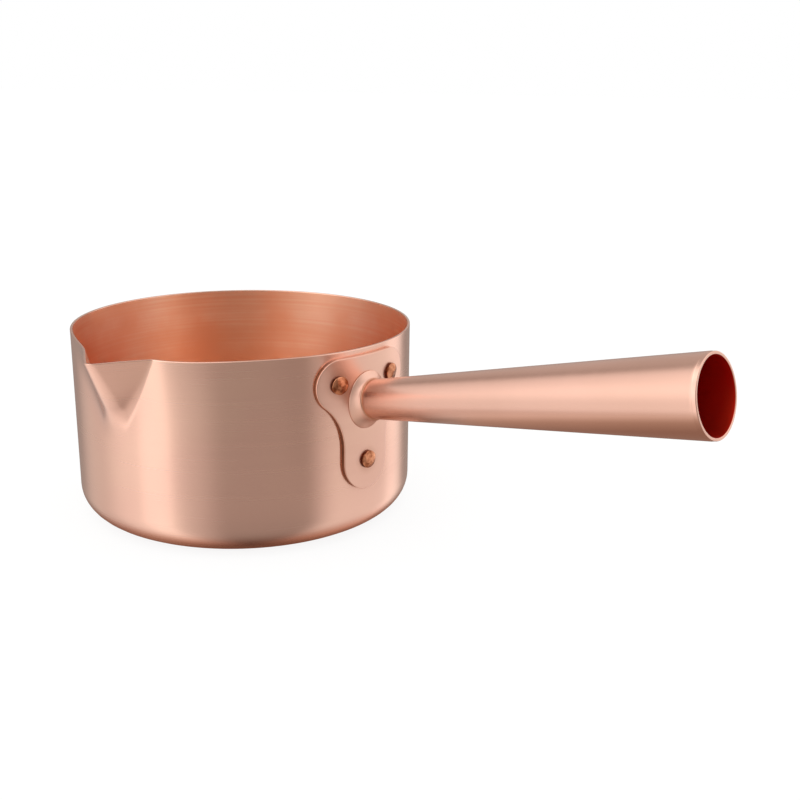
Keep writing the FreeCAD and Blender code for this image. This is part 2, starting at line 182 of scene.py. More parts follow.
def make_camera():
    """The camera, a little above the rim, between the lip's direction and the handle's."""
    data = bpy.data.cameras.new("camera")
    data.lens = CAMERA_LENS
    data.sensor_width = CAMERA_SENSOR
    data.clip_start = CAMERA_NEAREST
    data.clip_end = CAMERA_FURTHEST
    camera = bpy.data.objects.new("camera", data)
    bpy.context.scene.collection.objects.link(camera)
    camera.location = (CAMERA_DISTANCE * math.cos(CAMERA_BEARING),
                       CAMERA_DISTANCE * math.sin(CAMERA_BEARING), CAMERA_HEIGHT)
    forward = Vector((math.cos(CAMERA_HEADING) * math.cos(CAMERA_PITCH),
                      math.sin(CAMERA_HEADING) * math.cos(CAMERA_PITCH), math.sin(CAMERA_PITCH)))
    facing = forward.to_track_quat("-Z", "Y").to_matrix()
    camera.rotation_euler = (facing @ Matrix.Rotation(CAMERA_ROLL, 3, "Z")).to_euler()
    bpy.context.scene.camera = camera


make_camera()


# ---------------------------------------------------------------- node helpers

class Nodes:
    """A short way to add and link the nodes of one tree."""

    def __init__(self, tree):
        self.tree = tree
        tree.nodes.clear()

    def add(self, kind, inputs=None, **settings):
        """A new node. Inputs are sockets to link or plain values, by name or number."""
        node = self.tree.nodes.new(kind)
        for name, value in settings.items():
            setattr(node, name, value)
        for name, value in (inputs or {}).items():
            if isinstance(value, bpy.types.NodeSocket):
                self.tree.links.new(value, node.inputs[name])
            else:
                node.inputs[name].default_value = value
        return node

    def math(self, operation, first, second=0.0):
        """One Math node's result."""
        return self.add("ShaderNodeMath", {0: first, 1: second}, operation=operation).outputs[0]

    def remap(self, value, low, high, to_low, to_high, smooth=True):
        """A value carried from one range to another, and held at its ends."""
        node = self.add("ShaderNodeMapRange", {0: value, 1: low, 2: high, 3: to_low, 4: to_high},
                        interpolation_type="SMOOTHSTEP" if smooth else "LINEAR")
        return node.outputs[0]

    def blend(self, factor, first, second):
        """Two colours mixed."""
        node = self.add("ShaderNodeMix", data_type="RGBA")
        for socket, value in ((node.inputs[0], factor), (node.inputs[6], first), (node.inputs[7], second)):
            if isinstance(value, bpy.types.NodeSocket):
                self.tree.links.new(value, socket)
            else:
                socket.default_value = value
        return node.outputs[2]

    def ramp(self, value, stops):
        """A colour ramp, with its stops as (place, (red, green, blue))."""
        node = self.add("ShaderNodeValToRGB", {0: value})
        elements = node.color_ramp.elements
        while len(elements) < len(stops):
            elements.new(0.5)
        for element, (place, colour) in zip(elements, stops):
            element.position = place
            element.color = shade(*colour)
        return node.outputs[0]

    def noise(self, vector, scale, detail=2.0, stretch=(1, 1, 1)):
        """Noise between about 0.25 and 0.75, drawn out by different scales along the axes."""
        mapped = self.add("ShaderNodeMapping", {"Vector": vector, "Scale": stretch})
        return self.add("ShaderNodeTexNoise", {
            "Vector": mapped.outputs[0], "Scale": scale, "Detail": detail}).outputs[0]


def shade(red, green, blue):
    """A colour with its alpha."""
    return (red, green, blue, 1.0)


# ---------------------------------------------------------------- studio

# Soft lights and cards round the pan: bearing, half width and edge softness in degrees, brightness.
STUDIO_CARDS = (
    (-133, 44, 13, 0.32),                # pale wall on the left
    (-104, 34, 16, 0.26),                # large softbox on the left
    (-103, 11.5, 3, 0.27),               # its bright strip
    (51, 40, 13, 0.49),                  # pale screen on the right
    (82, 10, 5, 0.33),                   # brighter strip near its far edge
)
# Soft glows above the pan: bearing, height, full and outer radius in degrees, brightness.
STUDIO_GLOWS = (
    (-110, 41, 12, 56, 0.45),            # light over the left side
    (-115, 76, 15, 42, 0.52),            # light almost straight above
    (126, 38, 10, 44, 0.22),             # light over the far side
    (-35, 54, 8, 30, 0.19),              # light above the camera
    (36, 38, 8, 38, 0.40),               # light over the right side
)
# Brightness of the room and the cards against height: 0 is straight down, 0.5 level and 1 straight up.
STUDIO_LEVELS = ((0.0, 0.45), (0.03, 0.75), (0.10, 0.95), (0.22, 1.0),
                 (0.62, 1.0), (0.85, 0.88), (1.0, 0.80))
STUDIO_DIM = shade(0.34, 0.315, 0.295)   # the unlit room
BACKDROP = shade(1.0, 1.0, 1.0)
GLOSSY_BOUNCES = 8                       # enough for the inside of the pan and of the handle


def make_studio():
    """The surroundings that the metal reflects; the camera itself sees a plain white backdrop."""
    bpy.context.scene.view_settings.view_transform = "Standard"
    bpy.context.scene.cycles.glossy_bounces = GLOSSY_BOUNCES
    world = bpy.data.worlds.new("studio")
    bpy.context.scene.world = world
    world.use_nodes = True
    nodes = Nodes(world.node_tree)
    direction = nodes.add("ShaderNodeTexCoord").outputs["Generated"]
    split = nodes.add("ShaderNodeSeparateXYZ", {0: direction})
    level = nodes.add("ShaderNodeCombineXYZ", {0: split.outputs[0], 1: split.outputs[1]})
    level = nodes.add("ShaderNodeVectorMath", {0: level.outputs[0]}, operation="NORMALIZE")
    total = 0.0
    for bearing, half_width, softness, brightness in STUDIO_CARDS:
        turn = math.radians(bearing)
        towards = nodes.add("ShaderNodeVectorMath", {
            0: level.outputs[0], 1: (math.cos(turn), math.sin(turn), 0)}, operation="DOT_PRODUCT")
        outer = math.cos(math.radians(half_width + softness))
        inner = math.cos(math.radians(half_width - softness))
        total = nodes.math("ADD", nodes.remap(towards.outputs["Value"], outer, inner, 0, brightness), total)
    cards = nodes.add("ShaderNodeCombineXYZ", {0: total, 1: total, 2: total}).outputs[0]
    lit = nodes.add("ShaderNodeVectorMath", {0: cards, 1: STUDIO_DIM[:3]}, operation="ADD").outputs[0]
    glows = 0.0
    for bearing, height, full, outer, brightness in STUDIO_GLOWS:
        turn = math.radians(bearing)
        aim = Vector((math.cos(turn), math.sin(turn), math.tan(math.radians(height)))).normalized()
        facing = nodes.add("ShaderNodeVectorMath", {0: direction, 1: aim}, operation="DOT_PRODUCT")
        outer = math.cos(math.radians(outer))
        full = math.cos(math.radians(full))
        glows = nodes.math("ADD", nodes.remap(facing.outputs["Value"], outer, full, 0, brightness), glows)
    upward = nodes.math("ADD", nodes.math("MULTIPLY", split.outputs[2], 0.5), 0.5)
    level_light = nodes.ramp(upward, [(place, (value, value, value)) for place, value in STUDIO_LEVELS])
    room = nodes.add("ShaderNodeVectorMath", {0: lit, 1: level_light}, operation="MULTIPLY").outputs[0]
    glow = nodes.add("ShaderNodeCombineXYZ", {0: glows, 1: glows, 2: glows}).outputs[0]
    room = nodes.add("ShaderNodeVectorMath", {0: room, 1: glow}, operation="ADD").outputs[0]
    seen = nodes.add("ShaderNodeLightPath").outputs["Is Camera Ray"]
    background = nodes.add("ShaderNodeBackground", {0: nodes.blend(seen, room, BACKDROP)})
    nodes.add("ShaderNodeOutputWorld", {0: background.outputs[0]})


FLOOR_REACH = 40.0
FLOOR_GAP = 0.05 * MM                    # keeps the floor just clear of the base
FLOOR_GLOW = 0.90                        # share of the floor's brightness that shadows don't touch
FLOOR_PALE = 0.86
FLOOR_WARM = 1.01                        # how much more red and green its second tint has
FLOOR_GRAIN = 30
SKYLIGHT = 2.0
SKYLIGHT_WIDTH = math.radians(110)


def make_floor():
    """A plain pale floor, and the broad overhead light that metal doesn't reflect."""
    mesh = bpy.data.meshes.new("floor")
    corners = [(x * FLOOR_REACH, y * FLOOR_REACH, -FLOOR_GAP)
               for x, y in ((-1, -1), (1, -1), (1, 1), (-1, 1))]
    mesh.from_pydata(corners, [], [(0, 1, 2, 3)])
    material = bpy.data.materials.new("floor_paper")
    material.use_nodes = True
    nodes = Nodes(material.node_tree)
    position = nodes.add("ShaderNodeTexCoord").outputs["Object"]
    paper = nodes.blend(nodes.noise(position, FLOOR_GRAIN, 4), shade(FLOOR_PALE, FLOOR_PALE, FLOOR_PALE),
                        shade(FLOOR_PALE * FLOOR_WARM, FLOOR_PALE * FLOOR_WARM, FLOOR_PALE))
    lit = nodes.add("ShaderNodeBsdfDiffuse", {"Color": paper})
    glow = nodes.add("ShaderNodeEmission", {"Color": shade(1, 1, 1), "Strength": 1.0})
    mixed = nodes.add("ShaderNodeMixShader", {0: FLOOR_GLOW, 1: lit.outputs[0], 2: glow.outputs[0]})
    nodes.add("ShaderNodeOutputMaterial", {0: mixed.outputs[0]})
    mesh.materials.append(material)
    floor = bpy.data.objects.new("floor", mesh)
    bpy.context.scene.collection.objects.link(floor)
    floor.visible_glossy = False
    light = bpy.data.lights.new("skylight", "SUN")
    light.energy = SKYLIGHT
    light.angle = SKYLIGHT_WIDTH
    lamp = bpy.data.objects.new("skylight", light)
    bpy.context.scene.collection.objects.link(lamp)
    lamp.visible_glossy = False


TABLE_REACH = 300 * MM
TABLE_LIT_SIDE = math.radians(-125)      # the bearing of its lit side
TABLE_SPAN = 140 * MM                    # its brightness changes over this far on both sides of the axis
# The table's brightness as the metal reflects it, from its shaded side, 0, to its lit one, 1.
TABLE_LEVELS = ((0.08, (0.29, 0.20, 0.16)), (0.26, (0.44, 0.34, 0.28)), (0.40, (0.72, 0.63, 0.57)),
                (0.62, (0.66, 0.60, 0.56)), (0.80, (0.88, 0.84, 0.80)), (0.95, (1.0, 0.97, 0.94)))
TABLE_SHADED = (0.08, 0.26)              # where its shaded side gives way to the rest
TABLE_SHADED_SHIFT = 0.10                # how much further towards grazing the shaded side still shows
TABLE_SHOWS = (0.30, 0.56)               # 0 is looking straight at it and 1 is grazing: full, then gone
TABLE_STARTS = 98 * MM                   # nearer to the pan's axis than this, the table is clear
TABLE_START_FADE = 6 * MM
CONTACT_FROM = 4 * MM                    # inside the pan's outline
CONTACT_REACH = 9 * MM                   # width of the strip at the pan's foot that is tinted with the pan's colour: a painted reflection of the copper and its contact shade
CONTACT_TINT = (0.62, 0.34, 0.24)


def make_table_light():
    """The lit table round the pan, as the metal's downward reflections see it; nothing else sees it.

    Rays that reach it at a grazing angle, or close to the pan, pass through to the studio beyond.
    """
    turns = np.radians(np.arange(0, 360, 5))
    points = [(radius * math.cos(turn), radius * math.sin(turn), -FLOOR_GAP / 2)
              for radius in (PAN_RADIUS - CORNER_RADIUS, TABLE_REACH) for turn in turns]
    count = len(turns)
    faces = [(index, (index + 1) % count, (index + 1) % count + count, index + count)
             for index in range(count)]
    mesh = bpy.data.meshes.new("table_light")
    mesh.from_pydata(points, [], faces)
    material = bpy.data.materials.new("table_light")
    material.use_nodes = True
    nodes = Nodes(material.node_tree)
    place = nodes.add("ShaderNodeTexCoord").outputs["Object"]
    lit_side = (math.cos(TABLE_LIT_SIDE), math.sin(TABLE_LIT_SIDE), 0)
    across = nodes.add("ShaderNodeVectorMath", {0: place, 1: lit_side}, operation="DOT_PRODUCT")
    share = nodes.remap(across.outputs["Value"], -TABLE_SPAN, TABLE_SPAN, 0, 1, smooth=False)
    reach = nodes.add("ShaderNodeVectorMath", {0: place}, operation="LENGTH").outputs["Value"]
    glow = nodes.add("ShaderNodeEmission", {"Color": nodes.ramp(share, TABLE_LEVELS)})
    beyond = nodes.remap(reach, PAN_RADIUS - CONTACT_FROM, PAN_RADIUS + CONTACT_REACH, 0, 1)
    # near the pan, rays pass through tinted: painted reflection of the copper and its contact shade
    clear = nodes.add("ShaderNodeBsdfTransparent", {
        "Color": nodes.blend(beyond, shade(*CONTACT_TINT), shade(1, 1, 1))})
    grazing = nodes.add("ShaderNodeLayerWeight", {"Blend": 0.5}).outputs["Facing"]
    shift = nodes.remap(share, *TABLE_SHADED, TABLE_SHADED_SHIFT, 0)
    steep = nodes.remap(nodes.math("SUBTRACT", grazing, shift), *TABLE_SHOWS, 1, 0)
    open_table = nodes.remap(reach, TABLE_STARTS - TABLE_START_FADE, TABLE_STARTS + TABLE_START_FADE, 0, 1)
    mixed = nodes.add("ShaderNodeMixShader", {
        0: nodes.math("MULTIPLY", steep, open_table), 1: clear.outputs[0], 2: glow.outputs[0]})
    nodes.add("ShaderNodeOutputMaterial", {0: mixed.outputs[0]})
    mesh.materials.append(material)
    table = bpy.data.objects.new("table_light", mesh)
    bpy.context.scene.collection.objects.link(table)
    table.visible_camera = False
    table.visible_diffuse = False
    table.visible_shadow = False


make_studio()
make_floor()
make_table_light()


# ---------------------------------------------------------------- metals

BROAD_LINES = 0.17                       # the broad brush lines' scale, against the fine ones'
# The parts of the noise's range over which a finish goes from one state to the other.
MOTTLE_RANGE = (0.35, 0.65)
STREAK_RANGE = (0.38, 0.62)
ROUGH_RANGE = (0.35, 0.65)
RAGGED_RANGE = (0.3, 0.7)
ROUGH_SHARES = (0.95, 1.06)              # least and most roughness along the lines
RAGGED_SHARES = (0.8, 1.25)              # least and most reach of a stain
STAIN_FULL = 0.55                        # how far in from its edge a stain is full, as a share of its reach
STAIN_STRENGTH = 0.55
DENT_SCALE = 420.0
HIGHLIGHT_TURN = 0.25                    # of a full turn, so that highlights run across the brushing


class Metal:
    """One finish of copper: its two tints, and the marks that working and age have left on it."""

    def __init__(self, name, tint, second_tint, roughness, anisotropy=0.0, line_pitch=0.5 * MM,
                 line_length=60 * MM, line_depth=0.004 * MM, line_tint=0.25, dimple=0.0, patches=24.0):
        self.name = name
        self.tint = tint
        self.second_tint = second_tint
        self.roughness = roughness
        self.anisotropy = anisotropy
        self.line_pitch = line_pitch
        self.line_length = line_length
        self.line_depth = line_depth
        self.line_tint = line_tint
        self.dimple = dimple
        self.patches = patches
        self.stains = ()
        self.stain_reach = 0.0
        self.stain_tint = tint

    def make(self):
        """The material. Brushing follows the mesh's U direction, whose units are metres."""
        material = bpy.data.materials.new(self.name)
        material.use_nodes = True
        nodes = Nodes(material.node_tree)
        place = nodes.add("ShaderNodeTexCoord").outputs["Object"]
        along = nodes.add("ShaderNodeUVMap", uv_map="brush").outputs[0]
        stretch = (1 / self.line_length, 1 / self.line_pitch, 0)
        fine = nodes.noise(along, 1.0, 3.0, stretch)
        broad = nodes.noise(along, BROAD_LINES, 2.0, stretch)
        cloud = nodes.noise(place, self.patches, 4.0)
        lines = nodes.math("MULTIPLY", nodes.math("ADD", fine, broad), 0.5)

        mottle = nodes.remap(cloud, *MOTTLE_RANGE, 0.0, 1.0)
        colour = nodes.blend(mottle, self.tint, self.second_tint)
        streak = nodes.remap(lines, *STREAK_RANGE, 0.0, self.line_tint)
        colour = nodes.blend(streak, colour, self.second_tint)
        rough = nodes.remap(lines, *ROUGH_RANGE, *(self.roughness * share for share in ROUGH_SHARES))
        stained = 0.0
        for spot in self.stains:
            gap = nodes.add("ShaderNodeVectorMath", {0: place, 1: spot}, operation="DISTANCE")
            ragged = nodes.remap(cloud, *RAGGED_RANGE, *RAGGED_SHARES)
            reach = nodes.math("MULTIPLY", ragged, self.stain_reach)
            near = nodes.math("SUBTRACT", 1.0, nodes.math("DIVIDE", gap.outputs["Value"], reach))
            stain = nodes.remap(near, 0.0, STAIN_FULL, 0.0, STAIN_STRENGTH)
            stained = nodes.math("MAXIMUM", stain, stained)
        if self.stains:
            colour = nodes.blend(stained, colour, self.stain_tint)
        height = lines
        if self.dimple:
            dents = nodes.noise(place, DENT_SCALE, 3.0)
            height = nodes.math("ADD", height, nodes.math("MULTIPLY", dents, self.dimple))
        bump = nodes.add("ShaderNodeBump", {"Height": height, "Strength": 1.0, "Distance": self.line_depth})
        shader = nodes.add("ShaderNodeBsdfPrincipled", {
            "Base Color": colour, "Metallic": 1.0, "Roughness": rough, "Normal": bump.outputs[0],
            "Anisotropic": self.anisotropy, "Anisotropic Rotation": HIGHLIGHT_TURN})
        if self.anisotropy:
            tangent = nodes.add("ShaderNodeTangent", direction_type="UV_MAP", uv_map="brush")
            nodes.tree.links.new(tangent.outputs[0], shader.inputs["Tangent"])
        nodes.add("ShaderNodeOutputMaterial", {0: shader.outputs[0]})
        return material


COPPER = shade(0.95, 0.60, 0.47)
COPPER_BRIGHT = shade(1.0, 0.69, 0.51)
COPPER_PEACH = shade(0.93, 0.49, 0.30)
COPPER_PINK = shade(0.93, 0.57, 0.455)
COPPER_ROSE = shade(0.89, 0.545, 0.43)
COPPER_DEEP = shade(0.80, 0.40, 0.26)
COPPER_DULL = shade(0.72, 0.40, 0.29)
# tarnish on the braze and the collar's foot, and second tint of the painted shade on the plate's side
TARNISH_AND_SHADE = shade(0.62, 0.30, 0.18)
RIVET_BRIGHT = shade(0.92, 0.40, 0.22)
RIVET_BROWN = shade(0.30, 0.08, 0.03)
RIVET_DARK = shade(0.16, 0.05, 0.025)
# painted shade along the plate's side where it meets the wall
PAINTED_EDGE_SHADE = shade(0.34, 0.17, 0.11)
OXIDE = shade(0.75, 0.010, 0.006)
OXIDE_BROWN = shade(0.70, 0.04, 0.015)


# ---------------------------------------------------------------- mesh helpers

def finish_piece(name, mesh, materials, node):
    """Puts a mesh in the scene in place of its CAD node."""
    for material in materials:
        mesh.materials.append(material)
    mesh.shade_smooth()
    piece = bpy.data.objects.new(name, mesh)
    bpy.context.scene.collection.objects.link(piece)
    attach(piece, "root")
    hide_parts(node)


def skin(name, rings, spread, wrap=False, material_of_band=None):
    """A closed skin over rings of points.

    A ring is an (n, 3) array, or (1, 3) for a pole. Spread holds n + 1 distances round the ring, for the
    brushing's U direction; V is the distance run along the first point of each ring.
    """
    count = len(spread) - 1
    starts = np.cumsum([0] + [len(ring) for ring in rings])
    run = [0.0]
    for before, after in zip(rings, rings[1:] + rings[:1]):
        run.append(run[-1] + float(np.linalg.norm(after[0] - before[0])))
    faces = []
    layout = []
    bands = []
    for band in range(len(rings) if wrap else len(rings) - 1):
        following = (band + 1) % len(rings)
        for column in range(count):
            beside = (column + 1) % count
            near = [(band, column, column, run[band])]
            if len(rings[band]) > 1:
                near.append((band, beside, column + 1, run[band]))
            far = [(following, column, column, run[band + 1])]
            if len(rings[following]) > 1:
                far.insert(0, (following, beside, column + 1, run[band + 1]))
            corners = near + far
            faces.append([starts[ring] + (place if len(rings[ring]) > 1 else 0)
                          for ring, place, _, _ in corners])
            layout.extend((spread[place], height) for _, _, place, height in corners)
            bands.append(band)
    mesh = bpy.data.meshes.new(name)
    mesh.from_pydata(np.vstack(rings).tolist(), [], faces)
    layer = mesh.uv_layers.new(name="brush")
    layer.data.foreach_set("uv", np.array(layout, dtype=np.float32).ravel())
    if material_of_band:
        mesh.polygons.foreach_set("material_index", [material_of_band(band) for band in bands])
    face_outwards(mesh)
    return mesh


def face_outwards(mesh):
    """Turns every face of a closed mesh outwards."""
    shell = bmesh.new()
    shell.from_mesh(mesh)
    bmesh.ops.recalc_face_normals(shell, faces=shell.faces)
    shell.to_mesh(mesh)
    shell.free()


def arc(count=5):
    """Evenly spaced angles from 0 to a quarter turn."""
    return np.linspace(0, math.pi / 2, count)


# ---------------------------------------------------------------- pan body

def pan_bearings():
    """Directions round the pan, measured from the lip: close together across its fold."""
    stretches = ((-4, 20, 0.25), (20, 40, 1), (40, 321, 2), (321, 340, 1), (340, 356, 0.25))
    return np.radians(np.concatenate([np.arange(*stretch) for stretch in stretches]))


def lip_share(height):
    """How much of the lip there is at a height: none at the ridge's foot, all of it at the rim."""
    return min(max(1 - (PAN_HEIGHT - height) / LIP_DROP, 0.0), 1.0)


def from_lip(bearings):
    """The angle from the lip's direction, positive on the handle's side."""
    return (bearings + math.pi) % math.tau - math.pi


def hump(turns, middle, spread):
    """A smooth rise to 1 round a middle angle."""
    return np.exp(-((turns - middle) / spread) ** 2)


def lip_radius(turns, below_rim):
    """Distance from the pan's axis to the lip: two leaning flat flanks that meet in a rounded nose."""
    nose = LIP_NOSE_AT_RIM + LIP_NOSE_GROWTH * below_rim
    reach = LIP_TIP - LIP_NOSE_AT_RIM
    curl = LIP_NEAR_CURL * max(min(below_rim, LIP_DROP) - LIP_NEAR_CURL_FROM, 0.0) ** 2
    near = reach * math.sin(LIP_NEAR_FLANK) + LIP_NOSE_AT_RIM - LIP_NEAR_LEAN * below_rim - curl
    far = reach * math.sin(LIP_FAR_FLANK) + LIP_NOSE_AT_RIM - LIP_FAR_LEAN * below_rim
    near_facing = math.pi / 2 - LIP_NEAR_FLANK
    far_facing = LIP_FAR_FLANK - math.pi / 2
    normals = np.array([[math.cos(near_facing), math.sin(near_facing)],
                        [math.cos(far_facing), math.sin(far_facing)]])
    centre = np.linalg.solve(normals, [near - nose, far - nose])
    near_end, far_end = centre + nose * normals
    ridge = math.atan2(centre[1], centre[0])
    towards = centre[0] * np.cos(turns) + centre[1] * np.sin(turns)
    aside = centre[1] * np.cos(turns) - centre[0] * np.sin(turns)
    rounded = towards + np.sqrt(np.clip(nose ** 2 - aside ** 2, 0, None))
    near_flank = near / np.cos(np.clip(turns, ridge, near_facing) - near_facing)
    far_flank = far / np.cos(np.clip(turns, far_facing, ridge) - far_facing)
    flanks = np.where(turns > ridge, near_flank, far_flank)
    in_nose = (turns < math.atan2(near_end[1], near_end[0])) & (turns > math.atan2(far_end[1], far_end[0]))
    return np.where(in_nose, rounded, flanks)


def wall_radius(bearings, height):
    """Distance from the pan's axis to the outside of the wall at one height, lip included."""
    share = lip_share(height)
    turns = from_lip(bearings)
    side = np.clip((turns - LIP_SIDES_MEET) / LIP_SIDES_SPREAD + 0.5, 0, 1)
    side = side ** 2 * (3 - 2 * side)
    beside = hump(np.maximum(np.abs(turns), LIP_BULGE_TURN), LIP_BULGE_TURN, LIP_BULGE_SPREAD)
    bulge = LIP_FAR_BULGE + (LIP_NEAR_BULGE - LIP_FAR_BULGE) * side
    wall = PAN_RADIUS + bulge * share ** 2 * beside
    fold = lip_radius(turns, PAN_HEIGHT - height)
    near_crease = LIP_NEAR_CREASE + LIP_CREASE_GROWTH * (1 - share) ** 2
    crease = LIP_FAR_CREASE + (near_crease - LIP_FAR_CREASE) * side
    overlap = np.clip(crease - np.abs(fold - wall), 0, None) / crease
    return np.maximum(fold, wall) + overlap ** 2 * crease / 4


def rim_drop(bearings, height):
    """How far a point of the wall was pulled down when the lip was formed."""
    turns = np.abs(from_lip(bearings))
    dip = RIM_DIP * hump(turns, RIM_DIP_TURN, RIM_DIP_SPREAD) + LIP_TIP_DIP * hump(turns, 0, LIP_TIP_SPREAD)
    return dip * lip_share(height)


def pan_ring(bearings, form_height, inset, height):
    """One ring of the pan: the wall's plan at form_height, moved inwards and lifted to a height."""
    radius = wall_radius(bearings, form_height)
    # two waves, less the most that they can add up to, so that the wander only ever goes inwards
    wander = 0.5 * np.sin(3 * bearings + 1) + 0.3 * np.sin(7 * bearings + 40 * height) - 0.8
    radius = radius + WANDER * wander * np.clip((height - CORNER_RADIUS) / PAN_HEIGHT, 0, 1)
    turns = bearings + LIP_BEARING
    plan = np.column_stack([radius * np.cos(turns), radius * np.sin(turns)])
    # the points are unevenly spaced, so the nearer neighbour counts for more in a point's direction of travel
    ahead = np.roll(plan, -1, axis=0) - plan
    behind = plan - np.roll(plan, 1, axis=0)
    ahead_step = np.linalg.norm(ahead, axis=1)[:, None]
    behind_step = np.linalg.norm(behind, axis=1)[:, None]
    travel = ahead * behind_step / ahead_step + behind * ahead_step / behind_step
    travel /= np.linalg.norm(travel, axis=1)[:, None]
    plan -= inset * np.column_stack([travel[:, 1], -travel[:, 0]])
    return np.column_stack([plan, height - rim_drop(bearings, height)])


def make_pan(outside, inside):
    """The spun vessel: base, rounded corner, wall with its lip, rim, and the same back down inside."""
    bearings = pan_bearings()
    base_radius = PAN_RADIUS - CORNER_RADIUS
    inner_corner = CORNER_RADIUS - WALL
    wall_top = PAN_HEIGHT - RIM_ROUND
    wall_heights = np.linspace(CORNER_RADIUS, wall_top - RIM_CLEARANCE, WALL_STEPS)
    base_insets = PAN_RADIUS - base_radius * np.array(BASE_SHARES)

    sections = [(inset, 0.0) for inset in base_insets]
    sections += [(CORNER_RADIUS * (1 - math.sin(turn)), CORNER_RADIUS * (1 - math.cos(turn)))
                 for turn in arc(CORNER_STEPS)]
    sections += [(0.0, height) for height in wall_heights[1:]]
    sections += [(RIM_ROUND * (1 - math.cos(turn)), wall_top + RIM_ROUND * math.sin(turn)) for turn in arc()]
    sections += [(WALL - RIM_ROUND * (1 - math.sin(turn)), wall_top + RIM_ROUND * math.cos(turn))
                 for turn in arc()]
    rim_count = len(sections)
    sections += [(WALL, height) for height in wall_heights[:0:-1]]
    sections += [(WALL + inner_corner * (1 - math.cos(turn)), BASE + inner_corner * (1 - math.sin(turn)))
                 for turn in arc(CORNER_STEPS)]
    sections += [(inset, BASE) for inset in base_insets[::-1]]

    rings = [np.array([[0.0, 0.0, 0.0]])]
    rings += [pan_ring(bearings, max(height, CORNER_RADIUS), inset, height) for inset, height in sections]
    rings += [np.array([[0.0, 0.0, BASE]])]
    spread = np.append(bearings, bearings[0] + math.tau) * PAN_RADIUS
    mesh = skin("pan", rings, spread, material_of_band=lambda band: int(band >= rim_count))
    finish_piece("pan", mesh, [outside, inside], "pan_body")


# ---------------------------------------------------------------- handle, collar and braze

TURNS = np.radians(np.arange(0, 360, 2.5))
SETTLING_ROUNDS = 8                      # more than enough for station_on_cylinder to settle


def handle_ring(stations, radii):
    """A ring of points round the handle's axis; stations and radii may differ round the ring."""
    stations = np.broadcast_to(stations, TURNS.shape)
    radii = np.broadcast_to(radii, TURNS.shape)
    return (np.array(ROOT) + np.outer(stations, AXIS)
            + np.outer(radii * np.cos(TURNS), ACROSS) + np.outer(radii * np.sin(TURNS), ABOVE))


def station_on_cylinder(radius_at, cylinder):
    """Where lines along the handle meet an upright cylinder on the pan's axis."""
    stations = np.zeros(len(TURNS))
    for _ in range(SETTLING_ROUNDS):
        radii = radius_at(stations)
        reach = np.sqrt(cylinder ** 2 - (radii * np.cos(TURNS)) ** 2)
        stations = (reach - ROOT.x - radii * np.sin(TURNS) * ABOVE.x) / AXIS.x
    return stations


def tube_radius(stations):
    """The handle's outer radius along its axis."""
    return HANDLE_ROOT_RADIUS + (HANDLE_END_RADIUS - HANDLE_ROOT_RADIUS) * stations / HANDLE_LENGTH


def around(radius):
    """Distances round a ring of the handle, for the brushing."""
    return np.append(TURNS, math.tau) * radius


def make_tube(outside, inside):
    """The hollow conical handle, open at its far end, its root cut to the wall."""
    rounding = HANDLE_EDGE_ROUND
    band_start = HANDLE_LENGTH - EDGE_BAND
    edge_outer = tube_radius(band_start) - EDGE_BAND_DROP
    edge_inner = tube_radius(HANDLE_LENGTH) - HANDLE_WALL
    body = np.linspace(HANDLE_FIRST_RING, band_start - HANDLE_LAST_RING, 40)

    def inner_radius(stations):
        return tube_radius(stations) - HANDLE_WALL

    rings = [handle_ring(station_on_cylinder(tube_radius, PAN_RADIUS), HANDLE_ROOT_RADIUS)]
    rings += [handle_ring(station, tube_radius(station)) for station in body]
    rings += [handle_ring(band_start + along, tube_radius(band_start) - drop)
              for along, drop in EDGE_BAND_STEPS]
    rings += [handle_ring(HANDLE_LENGTH - rounding * (1 - math.sin(turn)),
                          edge_outer - rounding * (1 - math.cos(turn))) for turn in arc(6)]
    outside_count = len(rings)
    # the oxide starts part of the way round the open end's inner edge
    rings += [handle_ring(HANDLE_LENGTH - rounding * (1 - math.cos(turn)),
                          edge_inner + rounding * (1 - math.sin(turn))) for turn in arc(6)]
    rings += [handle_ring(station, inner_radius(station)) for station in body[::-1]]
    rings += [handle_ring(station_on_cylinder(inner_radius, PAN_RADIUS), HANDLE_ROOT_RADIUS - HANDLE_WALL)]
    mesh = skin("handle", rings, around(HANDLE_END_RADIUS), wrap=True,
                material_of_band=lambda band: int(outside_count + 2 < band < len(rings) - 1))
    finish_piece("handle", mesh, [outside, inside], "handle_tube")


def make_collar(metal, seam_and_painted_shade):
    """The collar round the handle's root: a low flare from its foot on the plate's face to its mouth."""
    foot_radius = np.hypot(COLLAR_FOOT_ACROSS * np.cos(TURNS), COLLAR_FOOT_UP * np.sin(TURNS))
    foot = station_on_cylinder(lambda stations: foot_radius, PLATE_FACE)
    slope_start = foot + COLLAR_EDGE
    slope_end = COLLAR_MOUTH_STATION - COLLAR_EDGE
    spare = foot_radius - COLLAR_FOOT_STEP - COLLAR_MOUTH_RADIUS
    rings = [handle_ring(foot, foot_radius)]
    rings += [handle_ring(slope_start + (slope_end - slope_start) * share,
                          COLLAR_MOUTH_RADIUS + spare * (1 - share) ** COLLAR_FLARE)
              for share in np.linspace(0, 1, 14)]
    rings += [handle_ring(slope_end + COLLAR_EDGE * math.sin(turn),
                          COLLAR_MOUTH_RADIUS - COLLAR_EDGE * (1 - math.cos(turn))) for turn in arc()[1:]]
    rings.append(handle_ring(COLLAR_MOUTH_STATION, tube_radius(COLLAR_MOUTH_STATION)))
    rings.append(handle_ring(station_on_cylinder(tube_radius, PLATE_FACE), HANDLE_ROOT_RADIUS))
    mesh = skin("collar", rings, around(COLLAR_FOOT_UP), wrap=True,
                material_of_band=lambda band: int(band == 0))
    finish_piece("collar", mesh, [metal, seam_and_painted_shade], "socket_collar")


